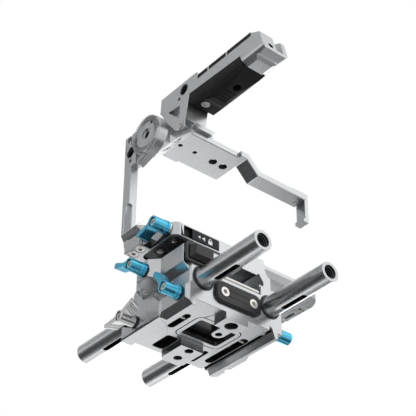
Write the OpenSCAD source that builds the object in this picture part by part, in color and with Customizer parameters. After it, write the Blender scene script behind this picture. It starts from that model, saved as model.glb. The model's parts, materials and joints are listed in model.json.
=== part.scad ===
// Camera cage rig: cage, top handle, quick release riser, rod block and 15 mm rods.
// X points to the operator's right, Y towards the lens, Z up.
// The origin is the mouth of the large tripod thread, on the plane the rig rests on.

/* [Rods] */
// Diameter of each support rod
rod_d = 15; // [15:0.5:19]
// Distance between the rod centres
rod_spacing = 60; // [58:1:66]
// Length of each rod
rod_len = 200; // [150:5:300]
// How far the rods stand out behind the block
rod_rear_out = 61; // [30:1:80]
// Diameter of the thread in each rod end
rod_thread_d = 10.2; // [9.6:0.1:11]
// Depth of the thread in each rod end
rod_thread_len = 15; // [10:1:20]
// Inner diameter of the rod tubes
rod_bore_d = 9; // [6:0.1:9.2]
// Height of the rod centres above the resting plane
rod_z = 23.5; // [22.5:0.5:26]
// Width of the slots under the rods
rod_slot_w = 4; // [3:0.5:6]
// Length of the slots under the rods
rod_slot_len = 24; // [15:1:30]

/* [Rod block] */
// Width of the block outside each rod's centre
rod_side = 11; // [10:0.25:14]
// Front of the rod block
block_front_y = 58.5; // [54:0.5:60]
// Rear face of the rod block and base plate
block_rear_y = -6.5; // [-9:0.5:-6]
// Height of the rod block's top
block_top_z = 38; // [36:0.5:40]
// Height of the seam between base plate and rod block
seam_z = 15; // [14:0.25:15]
// Width of the black collar round each rod
collar_w = 1.6; // [1:0.1:2]
// Depth of the black collars
collar_t = 2.5; // [2:0.5:4]
// Running gap round rods and studs
run_gap = 0.06; // [0.03:0.01:0.09]
// Gap between pieces that move past each other
slide_gap = 0.3; // [0.2:0.05:0.4]

/* [Base plate] */
// Front edge of the base plate
base_front_y = 68; // [66:0.5:72]
// Height of the rails and bosses under the base plate
rail_h = 5; // [4:0.25:5.5]
// Width of the left rail
left_rail_w = 7.6; // [6:0.2:8]
// Length of the left rail
left_rail_len = 35; // [30:1:40]
// How far the base plate's left side stands out behind, where a rod lever sits on it
side_out = 2.6; // [1:0.2:3]
// Width of the right rail
right_rail_w = 8.5; // [6:0.5:9]
// Length of the right rail
right_rail_len = 72; // [60:1:74]
// Diameter of the large tripod thread
tripod_38_d = 9.5; // [9:0.05:9.6]
// Diameter of the small tripod threads
tripod_14_d = 6.35; // [6:0.05:6.5]
// Distance between the two small tripod threads
tripod_14_pitch = 12.7; // [11:0.1:14]
// Width of the two bosses
boss_w = 19.6; // [17:0.2:22]
// Length of the rear boss
rear_boss_len = 13; // [12:0.5:14]
// Rear edge of the front boss
front_boss_y = 42; // [41:0.5:43]
// Outer width of the locating ring
ring_w = 38.6; // [36:0.2:39]
// Outer length of the locating ring
ring_l = 29.6; // [28:0.2:30]
// Width of the ring's band
ring_band = 3.4; // [3:0.1:4]
// Middle of the ring
ring_y = 24.4; // [24:0.1:25]
// Thickness of the locating ring
ring_t = 3.5; // [3:0.25:4]
// Depth of the recess inside the ring
recess_depth = 8; // [6:0.5:9]

/* [Rear pad] */
// Width of the rear pad
pad_w = 41; // [36:0.5:42]
// Height of the rear pad
pad_h = 17; // [15:0.5:18]
// Thickness of the rear pad
pad_t = 2.5; // [2:0.25:4]
// Distance between the pad screws
pad_screw_pitch = 25.6; // [22:0.2:27]

/* [Riser] */
// How far the riser's left wall stands out over the rod block
riser_overhang = 5.5; // [5:0.5:7]
// How far the riser's right face stands in from the block's
riser_inset = 8; // [6:0.5:10]
// Height of the riser over the rod block
riser_h = 11; // [10:0.5:12]
// Front of the riser
riser_front_y = 48; // [46:0.5:50]
// How far the lever housing stands out of the riser's left wall
housing_out = 6.5; // [5.5:0.5:8]
// Length of the lever housing
housing_len = 12.5; // [11:0.5:13]
// Width of the dovetail channel at its floor
channel_w = 40; // [36:1:42]
// Middle of the dovetail channel
channel_x = 6; // [4:0.5:8]
// Depth of the dovetail channel
channel_depth = 9; // [7:0.5:9.5]
// Diameter of the steel cross bar
cross_bar_d = 4; // [3:0.5:4]

/* [Release button] */
// Width of the release button
button_w = 19; // [16:0.5:19.5]
// Height of the release button
button_h = 11; // [9:0.5:11.5]
// Thickness of the black plate round the button
button_plate_t = 3; // [3:0.5:5]
// Travel of the button
button_travel = 3; // [2:0.5:4]

/* [Clamp levers] */
// Length of a lever barrel
lever_len = 13; // [12:0.1:15]
// Diameter of a lever barrel
lever_d = 9.2; // [8.4:0.2:10]
// Diameter of the lever studs
stud_d = 5; // [4:0.5:5.5]
// Reach of a lever wing from the barrel's axis
wing_reach = 17.5; // [14:0.5:17.5]
// Thickness of a lever wing
wing_t = 4.4; // [3:0.2:5]
// Width of a lever wing along the barrel
wing_w = 8.8; // [7:0.1:9]
// Thickness of the lever washers
washer_t = 1.3; // [1:0.1:1.5]
// Half length of the silver double wing
double_reach = 17; // [14:0.5:18]

/* [Cage plate] */
// Height of the cage plate's underside
plate_z = 59.5; // [59.5:0.5:62]
// Thickness of the cage plate
plate_t = 11; // [10.5:0.5:12]
// Thickness of the cage plate's right wing
wing_plate_t = 7.5; // [6:0.5:8]
// Left edge of the cage plate behind the arm
plate_left_x = -47; // [-48:0.5:-46]
// Right end of the cage plate
plate_right_x = 96; // [90:1:102]
// Rear edge of the cage plate
plate_rear_y = 5; // [4:0.5:6]
// Front edge of the cage plate
plate_front_y = 58; // [54:1:64]
// Travel of the lock slider
lock_travel = 6; // [4:0.5:6.5]
// Width of the lock slider
lock_w = 24; // [20:0.5:25]

/* [Arm] */
// Outer face of the arm
arm_x = -60; // [-62:0.5:-59]
// Thickness of the arm
arm_t = 6.5; // [5:0.25:7]
// How far the arm's foot stands back from its outer face
foot_in = 3; // [1.5:0.25:3]
// Width of the post, front to back
post_w = 8.8; // [8:0.2:9.2]
// Front of the post
post_front_y = 51; // [50:0.5:52]
// Height of the arm's top over the camera's shoulder
arm_rise = 11.5; // [10:0.5:14]
// Diameter of the rosette
rosette_d = 31.8; // [30:0.1:32]
// Distance of the rosette's centre under the arm's top
rosette_drop = 10.5; // [9:0.5:12]
// Middle of the rosette, front to back
rosette_y = 25; // [24:0.5:26]
// Number of rosette teeth
rosette_teeth = 60; // [36:6:60]

/* [Top bridge] */
// Room under the bridge for the camera's shoulders
shoulder_room = 80; // [77:0.5:81]
// Extra room for the viewfinder hump
hump_room = 11.5; // [10:0.5:12.5]
// Thickness of the bridge
bridge_t = 5; // [4:0.5:6]
// Depth of the bridge under the handle, front to back
bridge_l = 34; // [30:1:38]

/* [Handle] */
// Left face of the handle
handle_x = -30; // [-32:0.5:-28]
// Width of the handle
handle_w = 24; // [22:0.5:26]
// Length of the handle
handle_len = 122; // [118:1:126]
// Height of the handle's top over its foot
handle_rise = 39.5; // [38:0.5:44]
// Height of the metal bar
bar_h = 19.5; // [18:0.5:21]
// Travel of the handle on its rail, each way
handle_travel = 5; // [3:0.5:6]

/* [Hidden] */
$fn = 64;

// Small overshoot that makes a cut run clear of a face.
eps = 0.5;
rod_r = rod_d / 2;
stud_r = stud_d / 2;
left_x = -rod_spacing / 2 - rod_side;
pad_x = left_x - side_out;
right_x = rod_spacing / 2 + rod_side;
rod_rear_y = block_rear_y - rod_rear_out;
collar_r = rod_r + collar_w;
housing_y = riser_front_y - 21.5;
riser_left_x = left_x - riser_overhang;
riser_right_x = right_x - riser_inset;
riser_top_z = block_top_z + riser_h;
housing_x = riser_left_x - housing_out;
bevel_low_z = block_top_z - riser_h;
housing_low_z = bevel_low_z + 5;
riser_lever_z = block_top_z - 0.2;
rod_lever_y = block_rear_y + 9.3;
rod_lever_z = rod_z - rod_r - 5.2;
cotter_r = 5;
cotter_len = 12;
base_lever_y = 54;
base_lever_z = rail_h + 6.5;
base_boss_out = 1.3;
riser_lever_y = housing_y + 3.2;
cage_lever_y = plate_rear_y + 7.5;
cage_lever_z = plate_z + 7;
plate_top_z = plate_z + plate_t;
shoulder_z = plate_top_z + shoulder_room;
hump_z = shoulder_z + hump_room;
arm_top_z = shoulder_z + arm_rise;
rosette_z = arm_top_z - rosette_drop;
bridge_screw_z = shoulder_z + 6;
arm_thread_z = arm_top_z - 16;
pad_z = rod_z - 5;
riser_rear_y = block_rear_y + 1.5;
button_x = -34.5;
button_z = block_top_z + 1.5;
handle_mid_x = handle_x + handle_w / 2;
handle_rear_y = -73;
rail_x = handle_x + 14.25;
handle_front_y = handle_rear_y + handle_len;
bridge_y = 13;
rail_y = 10;
rail_len = 44;
rail_top_z = hump_z + bridge_t + 4.5;
foot_top_z = rail_top_z + 4;
handle_top_z = foot_top_z + handle_rise;
bar_low_z = handle_top_z - bar_h;
leg_w = 20;

ALU = [0.62, 0.63, 0.64];
ALU_DARK = [0.45, 0.46, 0.47];
BLACK = [0.08, 0.08, 0.085];
STEEL = [0.75, 0.74, 0.72];
BLUE = [0.16, 0.62, 0.80];

// Flat shape with rounded corners, centred.
module round_rect(w, h, r) {
    square([w - 2 * r, h], center = true);
    square([w, h - 2 * r], center = true);
    for (sx = [-1, 1], sy = [-1, 1])
        translate([sx * (w / 2 - r), sy * (h / 2 - r)]) circle(r);
}

// Straight slot with round ends, its long axis along Y, standing on z.
module slot_y(x, y0, y1, w, z0, z1) {
    translate([x, (y0 + y1) / 2, z0]) linear_extrude(z1 - z0) {
        square([w, y1 - y0 - w], center = true);
        for (s = [-1, 1]) translate([0, s * (y1 - y0 - w) / 2]) circle(w / 2);
    }
}

// Cylinder along X from x0 to x1.
module rod_x(x0, x1, y, z, r) {
    translate([x0, y, z]) rotate([0, 90, 0]) cylinder(h = x1 - x0, r = r);
}

// Cylinder along Y from y0 to y1.
module rod_y(y0, y1, x, z, r) {
    translate([x, y0, z]) rotate([-90, 0, 0]) cylinder(h = y1 - y0, r = r);
}

// Box from its low corner to its high corner.
module block(a, b) {
    translate(a) cube(b - a);
}

// Outline in X and Z pushed along Y.
module slab_y(y0, y1, pts) {
    translate([0, y1, 0]) rotate([90, 0, 0]) linear_extrude(y1 - y0) polygon(pts);
}

// Outline in Y and Z pushed along X.
module slab_x(x0, x1, pts) {
    translate([x0, 0, 0]) rotate([90, 0, 90]) linear_extrude(x1 - x0) polygon(pts);
}

// Socket screw with its head's face at the origin and its shank down Z.
module socket_screw(head_r, head_h, shank_r, shank_len) {
    difference() {
        union() {
            translate([0, 0, -head_h]) cylinder(h = head_h, r = head_r);
            translate([0, 0, -head_h - shank_len]) cylinder(h = shank_len, r = shank_r);
        }
        translate([0, 0, -head_h * 0.6]) cylinder(h = head_h, r = head_r * 0.52, $fn = 6);
    }
}

// Rods

module rod(x) {
    color(STEEL) difference() {
        rod_y(rod_rear_y, rod_rear_y + rod_len, x, rod_z, rod_r);
        rod_y(rod_rear_y - eps, rod_rear_y + rod_len + eps, x, rod_z, rod_bore_d / 2);
        rod_y(rod_rear_y - eps, rod_rear_y + rod_thread_len, x, rod_z, rod_thread_d / 2);
        rod_y(rod_rear_y + rod_len - rod_thread_len, rod_rear_y + rod_len + eps, x, rod_z,
            rod_thread_d / 2);
        for (y = [block_rear_y - 13 - rod_slot_len, block_front_y + 25])
            slot_y(x, y, y + rod_slot_len, rod_slot_w, rod_z - rod_r - eps, rod_z);
    }
}

module rod_left() { rod(-rod_spacing / 2); }
module rod_right() { rod(rod_spacing / 2); }

// Rod block and what is fixed to it

module rod_block() {
    color(ALU) difference() {
        union() {
            block([left_x, block_rear_y, seam_z], [right_x, block_front_y, block_top_z]);
            // Flare down to the base plate's wider side.
            slab_y(block_rear_y, block_rear_y + left_rail_len - 3,
                [[pad_x, seam_z], [left_x, seam_z + side_out], [left_x + 1, seam_z + side_out],
                [left_x + 1, seam_z]]);
        }
        for (s = [-1, 1]) {
            rod_y(block_rear_y - eps, block_front_y + eps, s * rod_spacing / 2, rod_z, rod_r + run_gap);
            rod_y(block_rear_y - eps, block_rear_y + collar_t, s * rod_spacing / 2, rod_z, collar_r);
            rod_y(block_front_y - collar_t, block_front_y + eps, s * rod_spacing / 2, rod_z, collar_r);
            // Bore of the cotter that grips the rod from below.
            rod_x(s > 0 ? rod_spacing / 2 - cotter_len / 2 : pad_x - eps,
                s > 0 ? right_x + eps : -rod_spacing / 2 + cotter_len / 2,
                rod_lever_y, rod_lever_z, cotter_r + run_gap);
        }
        // Front end of the flare slants in.
        translate([0, 0, seam_z - 1]) linear_extrude(side_out + 2) side_run_out();
        // Recess for the cross bar, open to the rear.
        block([-12, block_rear_y - eps, 30.5], [22, block_rear_y + 9, block_top_z + eps]);
        // Notch and hole in the left side.
        slab_x(left_x - eps, left_x + 2, [[28.3, 17.5], [36.6, 26.2], [34, 28], [24, 28], [22, 22]]);
        rod_x(left_x - eps, left_x + 5, 24.4, 19, 2.2);
        for (p = riser_screw_places) translate([p[0], p[1], block_top_z - 5]) cylinder(h = 6, r = 1.3);
        button_pocket();
        // Bevelled front top edge and rear left corner.
        slab_x(left_x - eps, right_x + eps, [[block_front_y - 3, block_top_z + eps],
            [block_front_y + eps, block_top_z + eps], [block_front_y + eps, block_top_z - 3]]);
        corner_cut(left_x, 1.2, seam_z + side_out, block_top_z + eps);
        corner_cut(pad_x, 2.4, seam_z - eps, seam_z + side_out + eps);
        for (s = [-1, 1]) pad_screw_hole(s);
    }
}

riser_screw_places = [[-24, 41], [29.6, 41], [29.6, 14]];

// Upright bevel of width c on the rear left corner, where the side is at x.
module corner_cut(x, c, z0, z1) {
    translate([x, block_rear_y, z0]) linear_extrude(z1 - z0)
        polygon([[-1, -1], [c, -1], [c, 0], [0, c], [-1, c]]);
}

// What is cut from the wider side in front, so that it runs slanting into the side of the rod block.
module side_run_out() {
    y = block_rear_y + left_rail_len;
    polygon([[pad_x - 1, y - 7], [pad_x, y - 7], [left_x, y], [left_x, y + 1], [pad_x - 1, y + 1]]);
}

module pad_screw_hole(s) {
    rod_y(block_rear_y - eps, block_rear_y + 8, s * pad_screw_pitch / 2, pad_z, 2);
}

module base_plate() {
    z = rail_h;
    color(ALU) difference() {
        union() {
            block([left_x, block_rear_y, z], [right_x, base_front_y, seam_z]);
            block([pad_x, block_rear_y, z], [left_x + 1, block_rear_y + left_rail_len, seam_z]);
            // Boss of the base lever and the pad behind it.
            difference() {
                rod_x(left_x - base_boss_out, left_x + 1, base_lever_y, base_lever_z, 6);
                block([left_x, base_lever_y - 8, seam_z], [left_x + 2, base_lever_y + 8, seam_z + 5]);
            }
            block([left_x - base_boss_out, base_lever_y - 13, z + 1.6], [left_x + 1, base_lever_y,
                seam_z - 0.4]);
            // Rounded lobe at the front left.
            translate([left_x + 5, base_front_y, z]) linear_extrude(seam_z - z) round_rect(10, 9, 2.5);
            // Left rail, bevelled along its outer edge.
            slab_y(block_rear_y, block_rear_y + left_rail_len,
                [[pad_x, z], [pad_x + 4.6, 0], [pad_x + left_rail_w, 0], [pad_x + left_rail_w, z]]);
            // Right rail: slanted inner face, a step and a notch in its outer edge.
            difference() {
                slab_y(block_rear_y, block_rear_y + right_rail_len, [[right_x - right_rail_w + 0.2, z],
                    [right_x - right_rail_w + 2, 0], [right_x - 1, 0], [right_x - 1, z]]);
                translate([0, 0, -1]) linear_extrude(z + 1) {
                    polygon([[right_x - 4, -10], [right_x, -10], [right_x, 30], [right_x - 1, 30],
                        [right_x - 4, 24]]);
                    polygon([[right_x, 48.5], [right_x, 54.5], [right_x - 1, 54.5], [right_x - 3, 53],
                        [right_x - 3, 50], [right_x - 1, 48.5]]);
                    translate([0, block_rear_y + right_rail_len]) polygon([[right_x, -3.5], [right_x, 1],
                        [right_x - 9, 1], [right_x - 4, 0]]);
                }
            }
            // Rear boss, its tab over the recess, and front boss.
            block([-boss_w / 2, block_rear_y, 0], [boss_w / 2, block_rear_y + rear_boss_len, z]);
            translate([3, 17, 2]) cylinder(h = z + recess_depth - 2, r = 5);
            block([-2, block_rear_y + rear_boss_len - 1, 2], [8, 17, z + recess_depth]);
            linear_extrude(z) polygon([[-boss_w / 2, front_boss_y], [boss_w / 2, front_boss_y],
                [boss_w / 2, base_front_y - 3], [boss_w / 2 - 3, base_front_y], [-boss_w / 2 + 4,
                    base_front_y],
                [-boss_w / 2, base_front_y - 3]]);
        }
        // Front end of the rail ramps up and its side slants in, and a small bevel runs on along the edge.
        translate([0, 0, -1]) linear_extrude(seam_z + 2) side_run_out();
        slab_x(pad_x - 1, pad_x + left_rail_w + 0.2, [[block_rear_y + left_rail_len - 7, -1],
            [block_rear_y + left_rail_len - 7, 0], [block_rear_y + left_rail_len, z],
                [block_rear_y + left_rail_len + 1, -1]]);
        slab_y(block_rear_y + left_rail_len - 1, base_front_y + 6, [[left_x - 1, z - 1], [left_x + 1.9,
            z - 1],
            [left_x - 1, z + 1.9]]);
        // Ring pocket with a thin shadow line round the ring, then the recess.
        difference() {
            translate([0, ring_y, z - eps]) linear_extrude(ring_t + eps)
                round_rect(ring_w + 1.2, ring_l + 1.2, 5.6);
            block([-boss_w / 2, block_rear_y, -1], [boss_w / 2, block_rear_y + rear_boss_len,
                z + ring_t + 1]);
            tab_core();
        }
        difference() {
            translate([0, ring_y, z]) linear_extrude(recess_depth)
                round_rect(ring_w - 2 * ring_band, ring_l - 2 * ring_band, 2);
            tab_core();
        }
        translate([0, 0, -eps]) cylinder(h = seam_z + 2 * eps, r = tripod_38_d / 2);
        translate([3, 17, -eps]) cylinder(h = seam_z, r = 2.5);
        for (k = [0, 1])
            translate([0, front_boss_y + 4 + k * tripod_14_pitch, -eps])
                cylinder(h = seam_z + 2 * eps, r = tripod_14_d / 2);
        // Dovetail groove along the right rail.
        slab_y(block_rear_y - 1, base_front_y + 1, [[right_x - 11.6, z - 1], [right_x - 11.6, z + 3],
            [right_x - 9.8, z + 3], [right_x - right_rail_w + 0.5, z - 1]]);
        for (y = base_screw_ys) translate([26, y, z]) cylinder(h = 9.7, r = 1.35);
        // Slots and pockets.
        slot_y(-26.5, 12.5, 35, 5, z - eps, z + 6);
        slot_y(26, 14, 58, 6.4, z - eps, z + 6);
        slot_y(15.5, 45, 64, 4.5, z - eps, z + 6);
        translate([-15.6, 53.5, z - eps]) linear_extrude(7) round_rect(9.6, 19.5, 2);
        // Bores of the rod cotters and of the base lever's stud.
        for (s = [-1, 1])
            rod_x(s > 0 ? rod_spacing / 2 - cotter_len / 2 : pad_x - eps,
                s > 0 ? right_x + eps : -rod_spacing / 2 + cotter_len / 2,
                rod_lever_y, rod_lever_z, cotter_r + run_gap);
        rod_x(left_x - base_boss_out - eps, left_x + 14, base_lever_y, base_lever_z, stud_r + run_gap);
        // Pins beside the ring.
        for (s = [-1, 1]) rod_x(s > 0 ? ring_w / 2 : -29, s > 0 ? 29 : -ring_w / 2, 20.5, z + 2, 1.26);
        corner_cut(pad_x, 2.4, -eps, seam_z + eps);
        for (s = [-1, 1]) {
            rod_y(block_rear_y - eps, block_rear_y + collar_t, s * rod_spacing / 2, rod_z, collar_r);
            rod_y(block_front_y - collar_t, block_front_y + eps, s * rod_spacing / 2, rod_z, collar_r);
        }
    }
}

base_screw_ys = [22, 34];

module base_screws() {
    color(STEEL) for (y = base_screw_ys)
        translate([26, y, rail_h + 3.4]) rotate([180, 0, 0]) socket_screw(2.7, 2.6, 1.3, 3.4);
}

// The tab that carries the middle thread stays solid inside the recess.
module tab_core() {
    translate([3, 17, -1]) cylinder(h = 30, r = 5);
    block([-2, block_rear_y + rear_boss_len - 1, -1], [8, 17, 30]);
}

module locating_ring() {
    color(ALU) difference() {
        translate([0, ring_y, rail_h]) linear_extrude(ring_t) difference() {
            round_rect(ring_w, ring_l, 5);
            round_rect(ring_w - 2 * ring_band, ring_l - 2 * ring_band, 2);
        }
        // The ring is open where the rear boss and the tab stand.
        block([-boss_w / 2 - slide_gap, block_rear_y, -1],
            [boss_w / 2 + slide_gap, block_rear_y + rear_boss_len + slide_gap, 30]);
        block([-2 - slide_gap, block_rear_y, -1], [8 + slide_gap, 17, 30]);
    }
}

module recess_plate() {
    z = rail_h + recess_depth;
    color(BLACK) difference() {
        translate([0, ring_y, z - 1.5]) linear_extrude(1.5)
            round_rect(ring_w - 2 * ring_band - 0.6, ring_l - 2 * ring_band - 0.6, 1.8);
        translate([3, 17, -1]) cylinder(h = 30, r = 5.2);
        block([-2.2, block_rear_y, -1], [8.2, 17, 30]);
        for (k = [-1, 1]) translate([k * 12, ring_y + 7.6, -1]) cylinder(h = 30, r = 1);
    }
}

module base_pins() {
    color(STEEL) for (s = [-1, 1])
        rod_x(s > 0 ? ring_w / 2 + 1 : -28.8, s > 0 ? 28.8 : -ring_w / 2 - 1, 20.5, rail_h + 2, 1.25);
}

module rear_pad() {
    color(BLACK) difference() {
        union() {
            translate([0, block_rear_y, pad_z]) rotate([90, 0, 0]) linear_extrude(pad_t - 0.8)
                round_rect(pad_w, pad_h, 6);
            translate([0, block_rear_y, pad_z]) rotate([90, 0, 0]) linear_extrude(pad_t)
                round_rect(pad_w - 1.6, pad_h - 1.6, 5.2);
        }
        // Ribs along the top edge.
        for (i = [-10:10])
            block([i * 1.5 - 0.35, block_rear_y - pad_t - eps, pad_z + pad_h / 2 - 0.8],
                [i * 1.5 + 0.35, block_rear_y + eps, pad_z + pad_h / 2 + eps]);
        for (s = [-1, 1])
            rod_y(block_rear_y - pad_t - eps, block_rear_y + eps, s * pad_screw_pitch / 2, pad_z, 3.6);
    }
}

module pad_screws() {
    color(STEEL) for (s = [-1, 1])
        translate([s * pad_screw_pitch / 2, block_rear_y - pad_t - 0.3, pad_z]) rotate([90, 0, 0])
            socket_screw(3.5, pad_t + 0.3, 1.95, 7);
}

module rod_collars() {
    color(BLACK) for (s = [-1, 1], y = [block_rear_y, block_front_y - collar_t])
        difference() {
            rod_y(y, y + collar_t, s * rod_spacing / 2, rod_z, collar_r - 0.02);
            rod_y(y - eps, y + collar_t + eps, s * rod_spacing / 2, rod_z, rod_r + run_gap);
        }
}

module rod_cotters() {
    color(STEEL) for (s = [-1, 1]) difference() {
        rod_x(s * rod_spacing / 2 - cotter_len / 2 + 0.5, s * rod_spacing / 2 + cotter_len / 2,
            rod_lever_y, rod_lever_z, cotter_r);
        rod_y(rod_lever_y - 20, rod_lever_y + 20, s * rod_spacing / 2, rod_z, rod_r + run_gap);
        rod_x(s * rod_spacing / 2 - 20, s * rod_spacing / 2 + 20, rod_lever_y, rod_lever_z,
            stud_r + run_gap);
    }
}

// Riser

function channel_pts(g) = let (w = channel_w / 2 - g, z0 = riser_top_z - channel_depth + g)
    [[channel_x - w, z0], [channel_x + w, z0], [channel_x + w, z0 + 3],
     [channel_x + w - 5, riser_top_z + 1], [channel_x - w + 5, riser_top_z + 1], [channel_x - w, z0 + 3]];

module riser() {
    h = riser_top_z - block_top_z;
    color(ALU) difference() {
        union() {
            block([left_x, riser_rear_y, block_top_z], [riser_right_x, riser_front_y, riser_top_z]);
            // Left wall that hangs over the rod block, with a bevel below.
            slab_y(riser_rear_y, riser_front_y, [[riser_left_x, riser_top_z],
                [riser_left_x, bevel_low_z + 4.7], [left_x, bevel_low_z], [left_x, riser_top_z]]);
            // Lever housing with a slanted face on each side and a slanted underside.
            intersection() {
                translate([0, 0, bevel_low_z]) linear_extrude(riser_top_z - bevel_low_z)
                    polygon([[riser_left_x + 1, housing_y - 7], [riser_left_x, housing_y - 6.5],
                        [housing_x, housing_y], [housing_x, housing_y + housing_len], [left_x,
                            riser_front_y],
                        [left_x, housing_y - 7]]);
                slab_y(riser_rear_y, riser_front_y + 1, [[housing_x, riser_top_z], [housing_x,
                    housing_low_z],
                    [left_x, bevel_low_z], [left_x, riser_top_z]]);
            }
        }
        at_housing_screw() translate([0, 0, -5.5]) cylinder(h = 8, r = 1.35);
        at_housing_screw() translate([0, 0, -1.7]) cylinder(h = 3, r = 2.6);
        slab_y(block_rear_y, riser_front_y + 1, channel_pts(0));
        // Stud bore of the riser lever, and the pocket of the release button.
        rod_x(housing_x - eps, housing_x + 11.5, riser_lever_y, riser_lever_z, stud_r + run_gap);
        button_pocket();
        // Rounded step on the top left edge.
        slab_y(block_rear_y, riser_front_y + 1, [[housing_x - 1, riser_top_z + 1], [riser_left_x + 9,
            riser_top_z + 1],
            [riser_left_x + 9, riser_top_z - 3], [housing_x - 1, riser_top_z - 3]]);
        for (p = riser_screw_places) translate([p[0], p[1], 0]) cylinder(h = riser_top_z + 1, r = 1.5);
        for (p = riser_screw_places) translate([p[0], p[1], riser_top_z - 3.5]) cylinder(h = 4, r = 2.6);
        block([-12, block_rear_y - eps, block_top_z - 1], [22, block_rear_y + 9,
            riser_top_z - channel_depth + 1]);
    }
}

// Place of the screw in the housing's slanted underside, its Z out of the face.
module at_housing_screw() {
    x = left_x - 3.7;
    slope = (housing_low_z - bevel_low_z) / (left_x - housing_x);
    translate([x, riser_front_y - 8.4, bevel_low_z + (left_x - x) * slope])
        rotate([0, 180 + atan(slope), 0]) children();
}

module cross_bar() {
    color(STEEL) rod_x(-11.6, 21.6, block_rear_y + 3.2, 33.2, cross_bar_d / 2);
}

module riser_screws() {
    color(STEEL) for (p = riser_screw_places)
        translate([p[0], p[1], riser_top_z - 0.4]) socket_screw(2.4, 3, 1.28, 12);
    color(STEEL) at_housing_screw() translate([0, 0, -0.2]) socket_screw(2.4, 1.45, 1.28, 3.6);
}

// Pocket behind the button, in the riser and in the rod block.
module button_pocket() {
    block([button_x - button_w / 2, block_rear_y - 1, button_z - button_h / 2],
        [button_x + button_w / 2, block_rear_y + 14, button_z + button_h / 2]);
}

module button_housing() {
    x0 = riser_left_x + 0.5;
    x1 = button_x + button_w / 2 + 2.5;
    z0 = rod_z + rod_r + 1;
    z1 = riser_top_z - 1.5;
    color(BLACK) difference() {
        union() {
            block([x0, riser_rear_y - button_plate_t, block_top_z + 0.3], [x1, riser_rear_y - 0.02, z1]);
            block([x0, riser_rear_y - button_plate_t, z0], [x1, block_rear_y - 0.02, block_top_z + 1]);
        }
        translate([button_x, riser_rear_y + 1, button_z]) rotate([90, 0, 0])
            linear_extrude(button_plate_t + 2) square([button_w, button_h], center = true);
        // Bevelled left corners.
        for (z = [z0, z1]) translate([x0, 0, z]) rotate([0, 45, 0]) cube([2, 40, 2], center = true);
    }
}

module release_button() {
    g = slide_gap;
    y0 = riser_rear_y - button_plate_t - 4;
    x0 = button_x - button_w / 2 + g;
    x1 = button_x + button_w / 2 - g;
    z0 = button_z - button_h / 2 + g;
    z1 = button_z + button_h / 2 - g;
    color(BLACK) difference() {
        block([x0, y0, z0], [x1, y0 + 9, z1]);
        // Bevelled left edge and slanted underside of the part that stands out.
        translate([0, 0, z0 - 1]) linear_extrude(button_h + 2) polygon([[x0 - 1, y0 - 1], [x0 + 3, y0 - 1],
            [x0 + 3, y0], [x0, y0 + 3], [x0 - 1, y0 + 3]]);
        slab_x(x0 - 1, x1 + 1, [[y0 - 1, z0 - 1], [y0 + 3.4, z0 - 1], [y0 + 3.4, z0], [y0, z0 + 2.6],
            [y0 - 1, z0 + 2.6]]);
    }
}

// Spring behind the button, as the closed sleeve that its coils fill.
module release_spring() {
    y0 = riser_rear_y - button_plate_t + 5.3;
    color(STEEL) difference() {
        rod_y(y0, block_rear_y + 13.7, button_x, button_z, 3);
        rod_y(y0 - 1, block_rear_y + 15, button_x, button_z, 2.2);
    }
}

// Clamp levers: modelled on the +X side of a wall at x = 0, then turned to their place

module lever_body() {
    r = lever_d / 2;
    x0 = washer_t;
    difference() {
        union() {
            rod_x(x0, x0 + 1.6, 0, 0, r + 0.5);
            rod_x(x0 + 1.5, x0 + 2.3, 0, 0, r - 0.3);
            rod_x(x0 + 2.2, x0 + 3.4, 0, 0, r + 0.3);
            rod_x(x0 + 3.3, x0 + lever_len, 0, 0, r);
            translate([x0 + lever_len - wing_w, 0, 0]) rotate([90, 0, 90])
                linear_extrude(wing_w) lever_profile();
        }
        rod_x(-1, x0 + lever_len + 1, 0, 0, stud_r + 0.1);
        rod_x(x0 + lever_len - 3, x0 + lever_len + 1, 0, 0, 3.4);
        // Slanted corner on the wing's inner tip.
        translate([x0 + lever_len - wing_w, wing_reach, 0]) rotate([0, 0, 45])
            cube([4.2, 4.2, 20], center = true);
    }
}

// Wing seen along the barrel: it narrows to a neck and ends in a thicker rounded tip.
module lever_profile() {
    t = wing_t / 2;
    w = wing_reach - t;
    polygon([[0, -t - 2], [w * 0.42, -t * 0.72], [w * 0.62, -t * 0.75], [w, -t], [w, t], [w * 0.62,
        t * 0.75],
        [w * 0.42, t * 0.72], [0, t + 2]]);
    translate([w, 0]) circle(t);
}

module lever_stud(depth) {
    x1 = washer_t + lever_len;
    translate([x1 - 1, 0, 0]) rotate([0, 90, 0]) socket_screw(2.8, 1.9, stud_r, x1 - 2.9 + depth);
}

module lever_washer(r) {
    difference() {
        rod_x(0.05, washer_t - 0.05, 0, 0, r);
        rod_x(-1, 5, 0, 0, stud_r + 0.1);
    }
}

// Puts a lever on a wall that faces left (side -1) or right (side 1), its wing turned up by angle.
module on_wall(side, x, y, z, angle) {
    translate([x, y, z]) mirror([side < 0 ? 1 : 0, 0, 0]) rotate([angle, 0, 0]) children();
}

cage_lever_angle = -12;
riser_lever_angle = 20;
rod_left_lever_angle = 58;
rod_right_lever_angle = 42;
base_lever_angle = -14;

module at_cage() { on_wall(-1, plate_left_x, cage_lever_y, cage_lever_z, cage_lever_angle) children(); }
module at_riser() { on_wall(-1, housing_x, riser_lever_y, riser_lever_z, riser_lever_angle) children(); }
module at_rod_left() { on_wall(-1, pad_x, rod_lever_y, rod_lever_z, rod_left_lever_angle) children(); }
module at_rod_right() { on_wall(1, right_x, rod_lever_y, rod_lever_z, rod_right_lever_angle) children(); }
module at_base() { on_wall(-1, left_x - base_boss_out, base_lever_y, base_lever_z,
    base_lever_angle) children(); }

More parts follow.
